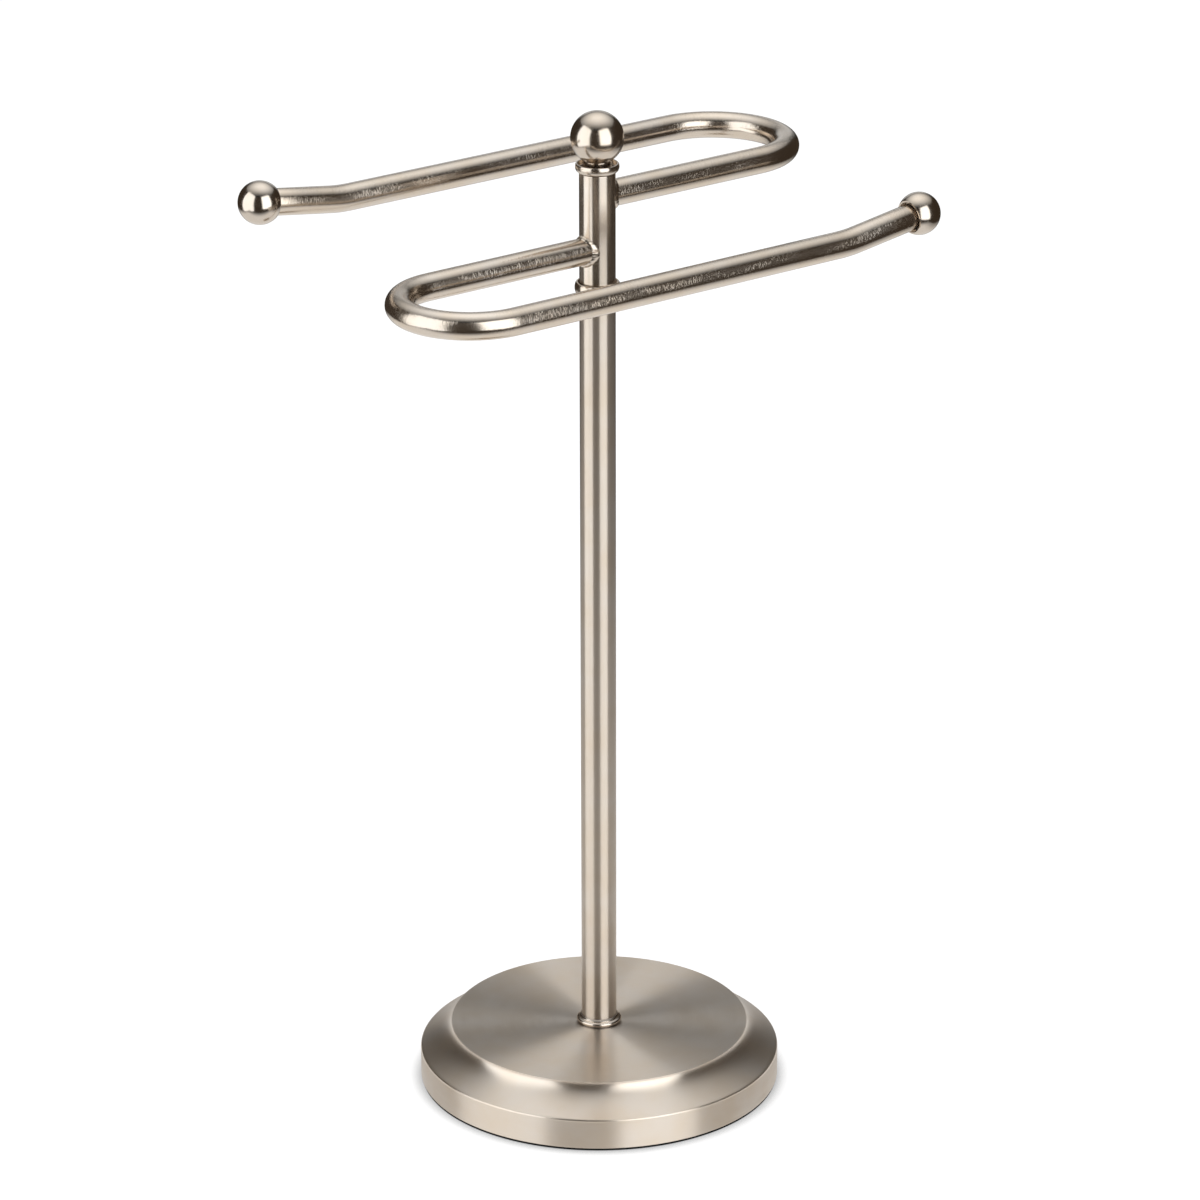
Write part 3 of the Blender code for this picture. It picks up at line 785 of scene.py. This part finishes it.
def make_post(mats):
    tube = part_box("post_tube")[1].x
    dish = tube + POST_DISH_GAP
    foot = collar_foot_outline(*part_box("foot_collar"), M6_CLEARANCE, dish)
    add_piece("foot_collar_fine", turned_mesh("foot_collar_fine", foot), "stand",
              mats["collar"])
    add_tube("post_tube", "stand", mats["post"])
    for node in ("post_foot_insert", "post_top_insert"):
        add_bush(node, "stand", mats)
    add_stud("coupling_stud", "stand", mats)
    collar = cup_outline(*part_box("mid_collar"), M6_CLEARANCE, tube, MID_BELLY_Z, MID_FLOOR)
    add_piece("mid_collar_fine", turned_mesh("mid_collar_fine", collar), "collar",
              mats["collar"])


def make_head(mats):
    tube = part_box("head_tube")[1].x
    add_tube("head_tube", "head", mats["head"])
    for node in ("head_foot_insert", "head_top_insert"):
        add_bush(node, "head", mats)
    collar = cup_outline(*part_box("top_collar"), M6_CLEARANCE, tube, TOP_BELLY_Z, TOP_FLOOR)
    add_piece("top_collar_fine", turned_mesh("top_collar_fine", collar), "head",
              mats["collar"])
    lo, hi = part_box("finial_ball")
    radius = hi.x
    centre = Vector((0.0, 0.0, hi.z - radius))
    neck, low, bore_top = FINIAL_NECK, lo.z - centre.z, FINIAL_BORE_TOP - centre.z
    neck_angle = -degrees(acos(neck / radius))
    foot = rounded([(neck, -sqrt(radius ** 2 - neck ** 2) - 0.0003, 0.0), (neck, low, 0.0003),
                    (M6_BORE, low, 0.0002), (M6_BORE, bore_top, 0.0),
                    (NEAR_AXIS, bore_top + 0.0005, 0.0)])
    mesh = turned_mesh("finial_ball_fine", ball_outline(radius, neck_angle, foot), closed=False)
    add_piece("finial_ball_fine", mesh, "head", mats["ball"],
              Matrix.Translation(centre))
    add_stud("finial_stud", "head", mats)
    return tube


def make_arm(prefix, head_radius, mats):
    node = prefix + "_arm"
    sign, tube, bend, reach, height = arm_sizes(node)
    place = Matrix.Translation((0.0, 0.0, height)) @ Matrix.Rotation(0.0 if sign > 0 else pi, 4, "Z")
    lo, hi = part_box(prefix + "_end_ball")
    ball_radius = (hi.y - lo.y) / 2
    ball_x = (-lo.x if sign > 0 else hi.x) - ball_radius
    rise = (ball_x - KINK_X) * tan(KINK_ANGLE)
    ball_centre = Vector((-ball_x, 2 * bend, rise))
    end_x = ball_x - (CLEAR - BALL_FLOOR_Z) * cos(KINK_ANGLE)
    route = arm_route(bend, reach, end_x)
    name = node + "_fine"
    add_piece(name, arm_mesh(name, route, tube, head_radius + 0.0001), "head",
              mats["arm"], place)
    name = node + "_braze_fine"
    add_piece(name, braze_mesh(name, tube, head_radius), "head",
              mats["bead"], place)

    axis = (place @ Matrix.Translation(ball_centre) @ Matrix.Rotation(KINK_ANGLE - pi / 2, 4, "Y"))
    cut_radius = sqrt(ball_radius ** 2 - BALL_MOUTH_Z ** 2)
    foot = rounded([(cut_radius, BALL_MOUTH_Z, 0.0),
                    (BALL_MOUTH_RADIUS + 0.00005, BALL_MOUTH_Z, 0.00015),
                    (BALL_MOUTH_RADIUS, BALL_FLOOR_Z, 0.0003), (M4_BORE, BALL_FLOOR_Z, 0.0002),
                    (M4_BORE, BALL_HOLE_TOP, 0.0), (NEAR_AXIS, BALL_HOLE_TOP + 0.0004, 0.0)])
    outline = ball_outline(ball_radius, -degrees(acos(cut_radius / ball_radius)) + 1.0, foot)
    name = prefix + "_end_ball_fine"
    add_piece(name, turned_mesh(name, outline, sides=128, closed=False), "head",
              mats["ball"], axis)
    insert_top = BALL_FLOOR_Z - 2 * CLEAR
    insert_radius = tube - ARM_WALL - 0.0001
    name = prefix + "_arm_insert_fine"
    add_piece(name, insert_mesh(name, insert_radius, M4_BORE, insert_top - ARM_INSERT_LENGTH, insert_top,
                                M4_PITCH, 28),
              "head", mats["brass"], axis)
    name = prefix + "_ball_screw_fine"
    add_piece(name, threaded_rod_mesh(name, M4_CORE, *BALL_SCREW_ENDS, M4_PITCH), "head",
              mats["zinc"], axis)


# --- studio -----------------------------------------------------------------------------------


def image_direction(azimuth, elevation):
    """World direction from the object: azimuth 0 is level towards the camera and grows
    towards the picture's right."""
    a = radians(azimuth)
    towards = Vector((sin(VIEW_AZIMUTH), -cos(VIEW_AZIMUTH), 0.0))
    right = Vector((cos(VIEW_AZIMUTH), sin(VIEW_AZIMUTH), 0.0))
    level = towards * cos(a) + right * sin(a)
    e = radians(elevation)
    return level * cos(e) + Vector((0.0, 0.0, sin(e)))


def show_only(obj, camera=False, glossy=False, diffuse=False, shadow=False):
    obj.visible_camera = camera
    obj.visible_glossy = glossy
    obj.visible_diffuse = diffuse
    obj.visible_transmission = glossy
    obj.visible_shadow = shadow


def sheet_mesh(name, edges, height=0.0):
    """A level rectangle between left, right, front and back edges."""
    left, right, front, back = edges
    mesh = bpy.data.meshes.new(name)
    mesh.from_pydata([(left, front, height), (right, front, height), (right, back, height),
                      (left, back, height)], [], [(0, 1, 2, 3)])
    return mesh


def light_card(name, centre, aim, width, height, strength, soft):
    """A flat soft light: an evenly lit sheet whose edges fall off over a share of its size."""
    mesh = sheet_mesh(name, (-width / 2, width / 2, -height / 2, height / 2))
    layer = mesh.uv_layers.new(name="sheet")
    layer.data.foreach_set("uv", [0, 0, 1, 0, 1, 1, 0, 1])
    obj = link_new(name, mesh)
    obj.location = centre
    obj.rotation_mode = "QUATERNION"
    obj.rotation_quaternion = (aim - centre).to_track_quat("Z", "Y")
    mat, n = new_material(name + "_glow")
    split = n.add("ShaderNodeSeparateXYZ", {0: n.add("ShaderNodeUVMap", uv_map="sheet").outputs[0]})
    falls = []
    for axis in (0, 1):
        off_centre = n.math("ABSOLUTE", n.math("SUBTRACT", split.outputs[axis], 0.5))
        inward = n.math("SUBTRACT", 0.5, off_centre)
        falls.append(n.add("ShaderNodeMapRange", {"Value": inward, "From Max": soft},
                           interpolation_type="SMOOTHSTEP").outputs[0])
    even = n.math("MULTIPLY", falls[0], falls[1])
    n.glow((0.97, 1.0, 1.02), n.math("MULTIPLY", even, strength))
    mesh.materials.append(mat)
    show_only(obj, glossy=True, diffuse=True)


def standing_card(name, azimuths, bottom, top, distance, strength, lean=0.0, soft=0.05):
    """An upright light that covers a range of azimuths as the object sees them, its top
    leaning over the object."""
    middle = (azimuths[0] + azimuths[1]) / 2
    width = 2 * distance * tan(radians(azimuths[1] - azimuths[0]) / 2)
    out = image_direction(middle, 0.0)
    centre = out * distance + Vector((0.0, 0.0, (bottom + top) / 2))
    normal = out * cos(lean) + Vector((0.0, 0.0, sin(lean)))
    light_card(name, centre, centre - normal, width, (top - bottom) / cos(lean), strength, soft)


def make_floor():
    """White floor for the camera, with a painted contact shadow: darker where the base stands close to
    it.
    """
    mesh = bpy.data.meshes.new("floor")
    steps, radius = 96, 12.0
    angles = [2 * pi * k / steps for k in range(steps)]
    mesh.from_pydata([(radius * cos(a), radius * sin(a), 0.0) for a in angles], [],
                     [tuple(range(steps))])
    floor = link_new("floor", mesh)
    mat, n = new_material("floor_paper")
    grain = n.noise(n.object_vector(), 300.0)
    # Painted contact shadow: ambient occlusion near the base lowers the floor's glow.
    near = n.add("ShaderNodeAmbientOcclusion", {"Distance": 0.007}, samples=6).outputs["AO"]
    n.finish(n.add("ShaderNodeBsdfPrincipled", {
        "Base Color": (0.12, 0.12, 0.12, 1.0),
        "Roughness": n.span(grain, 0.3, 0.7, 0.75, 0.85),
        "Emission Color": (1.0, 1.0, 1.0, 1.0),
        "Emission Strength": n.span(near, 0.45, 0.88, 0.40, 1.0),
    }))
    mesh.materials.append(mat)
    show_only(floor, camera=True)


def make_table():
    """Bright table top for the metal's reflections, fading towards its edges."""
    left, right, front, back = TABLE
    mesh = sheet_mesh("table_top", TABLE)
    table = link_new("table_top", mesh)
    table.rotation_euler = (0.0, 0.0, VIEW_AZIMUTH)
    table.location = (0.0, 0.0, -0.0002)
    mat, n = new_material("table_glow")
    where = n.add("ShaderNodeSeparateXYZ", {0: n.object_vector()}).outputs
    glow = 0.95
    for axis, start, end, low in ((0, -0.50, left, 0.4), (0, 0.22, right, 0.35),
                                  (1, -0.16, front, 0.15), (1, 0.25, back, 0.4)):
        fall = n.add("ShaderNodeMapRange", {"Value": where[axis], "From Min": start,
                                            "From Max": end, "To Min": 1.0, "To Max": low},
                     interpolation_type="SMOOTHSTEP").outputs[0]
        glow = n.math("MULTIPLY", fall, glow)
    n.glow((1.0, 1.0, 0.99), glow)
    mesh.materials.append(mat)
    show_only(table, glossy=True)


def make_backdrop():
    """White dome all round, for the camera only."""
    bpy.ops.mesh.primitive_uv_sphere_add(segments=64, ring_count=32, radius=11.0)
    dome = bpy.context.object
    dome.name = "backdrop"
    mat, n = new_material("backdrop_white")
    n.glow((1.0, 1.0, 1.0), 1.0)
    dome.data.materials.append(mat)
    show_only(dome, camera=True)


def make_world():
    """Dim warm room."""
    world = bpy.data.worlds.new("room")
    bpy.context.scene.world = world
    world.use_nodes = True
    n = Nodes(world.node_tree)
    room = n.add("ShaderNodeBackground", {"Color": (1.35, 1.0, 0.70, 1.0), "Strength": 0.035})
    n.add("ShaderNodeOutputWorld", {"Surface": room.outputs[0]})


def make_ceiling():
    """Large soft light overhead, brightest high up behind the object."""
    mesh = sheet_mesh("ceiling_light", CEILING, CEILING_HEIGHT)
    obj = link_new("ceiling_light", mesh)
    obj.rotation_euler = (0.0, 0.0, VIEW_AZIMUTH)
    mat, n = new_material("ceiling_glow")
    ray = n.add("ShaderNodeVectorMath", {0: n.object_vector(), 1: Vector((0.0, 0.0, ARMS_HEIGHT))},
                operation="SUBTRACT").outputs[0]
    ray = n.add("ShaderNodeVectorMath", {0: ray}, operation="NORMALIZE").outputs[0]
    brightest = Vector((0.0, cos(radians(72.0)), sin(radians(72.0))))
    facing = n.add("ShaderNodeVectorMath", {0: ray, 1: brightest},
                   operation="DOT_PRODUCT").outputs["Value"]
    share = n.span(facing, 0.49, 0.99, 0.0, 1.0)
    strength = n.math("MULTIPLY", n.math("POWER", share, 1.4), 1.45)
    n.glow((0.98, 1.0, 1.01), strength)
    mesh.materials.append(mat)
    show_only(obj, glossy=True)


def make_lights():
    standing_card("softbox_left", (-95.0, -31.0), bottom=-0.32, top=1.60, distance=1.10,
                  strength=1.78)
    standing_card("softbox_right", (10.0, 64.0), bottom=-0.08, top=1.38, distance=1.04,
                  strength=2.20, lean=radians(9))
    back = image_direction(180.0, 0.0) * 1.6 + Vector((0.0, 0.0, 0.68))
    light_card("back_wall", back, Vector((0.0, 0.0, 0.68)), width=1.5, height=0.85,
               strength=0.70, soft=0.30)
    key = bpy.data.lights.new("ceiling_fill", "AREA")
    key.shape = "RECTANGLE"
    key.size, key.size_y = 1.6, 1.6
    key.energy = 6.0
    light = link_new("ceiling_fill", key)
    light.location = (0.0, 0.0, 1.9)
    light.visible_glossy = False


def make_camera():
    data = bpy.data.cameras.new("camera")
    data.lens = LENS_MM
    data.sensor_width = SENSOR_MM
    data.clip_start, data.clip_end = 0.05, 60.0
    camera = link_new("camera", data)
    back = image_direction(0.0, degrees(VIEW_ELEVATION))
    turn = back.to_track_quat("Z", "Y").to_matrix().to_4x4()
    roll = Matrix.Rotation(VIEW_ROLL, 4, "Z")
    camera.matrix_world = Matrix.Translation(LOOK_AT + back * VIEW_DISTANCE) @ turn @ roll
    bpy.context.scene.camera = camera


def make_stand():
    mats = {
        "pad": pad_rubber(),
        "iron": cast_iron(),
        "zinc": machined("zinc_plate", (0.52, 0.54, 0.56), (0.70, 0.71, 0.72), 0.30),
        "brass": machined("turned_brass", (0.60, 0.42, 0.16), (0.76, 0.57, 0.27), 0.28),
        # The last argument of each nickel finish scales its colour: painted light, the same plating made
        # brighter or darker per part for how brightly it is lit.
        "spun": brushed_nickel("spun_nickel", 0.39, 1.0, 6.0, 2200.0, 3.0, painted_light_scale=0.97),
        "buffed": brushed_nickel("buffed_nickel", 0.32, 0.85, 1.5, 2200.0, 3.0, painted_light_scale=1.09),
        "skirt": brushed_nickel("skirt_nickel", 0.39, 1.0, 4.0, 2200.0, 3.0, painted_light_scale=1.12),
        "post": brushed_nickel("post_nickel", 0.377, 1.0, 4.0, 2400.0, 4.0, painted_light_scale=1.10),
        "head": brushed_nickel("head_nickel", 0.25, 0.75, 1.2, 2400.0, 4.0, painted_light_scale=0.97),
        "collar": brushed_nickel("collar_nickel", 0.22, 0.40, 2.0, 3000.0, 4.0, painted_light_scale=1.0),
        "arm": hatched_nickel("arm_nickel", 0.19, 0.45, 32.0, painted_light_scale=1.02),
        "ball": polished_nickel("ball_nickel", 0.15, 6.0, painted_light_scale=0.96),
        "bead": polished_nickel("braze_nickel", 0.18, 20.0, painted_light_scale=1.0),
    }
    make_base(mats)
    make_post(mats)
    head_radius = make_head(mats)
    for prefix in ("upper", "lower"):
        make_arm(prefix, head_radius, mats)


bpy.context.scene.view_settings.view_transform = "Standard"
make_camera()
make_world()
make_floor()
make_table()
make_backdrop()
make_ceiling()
make_lights()
make_stand()
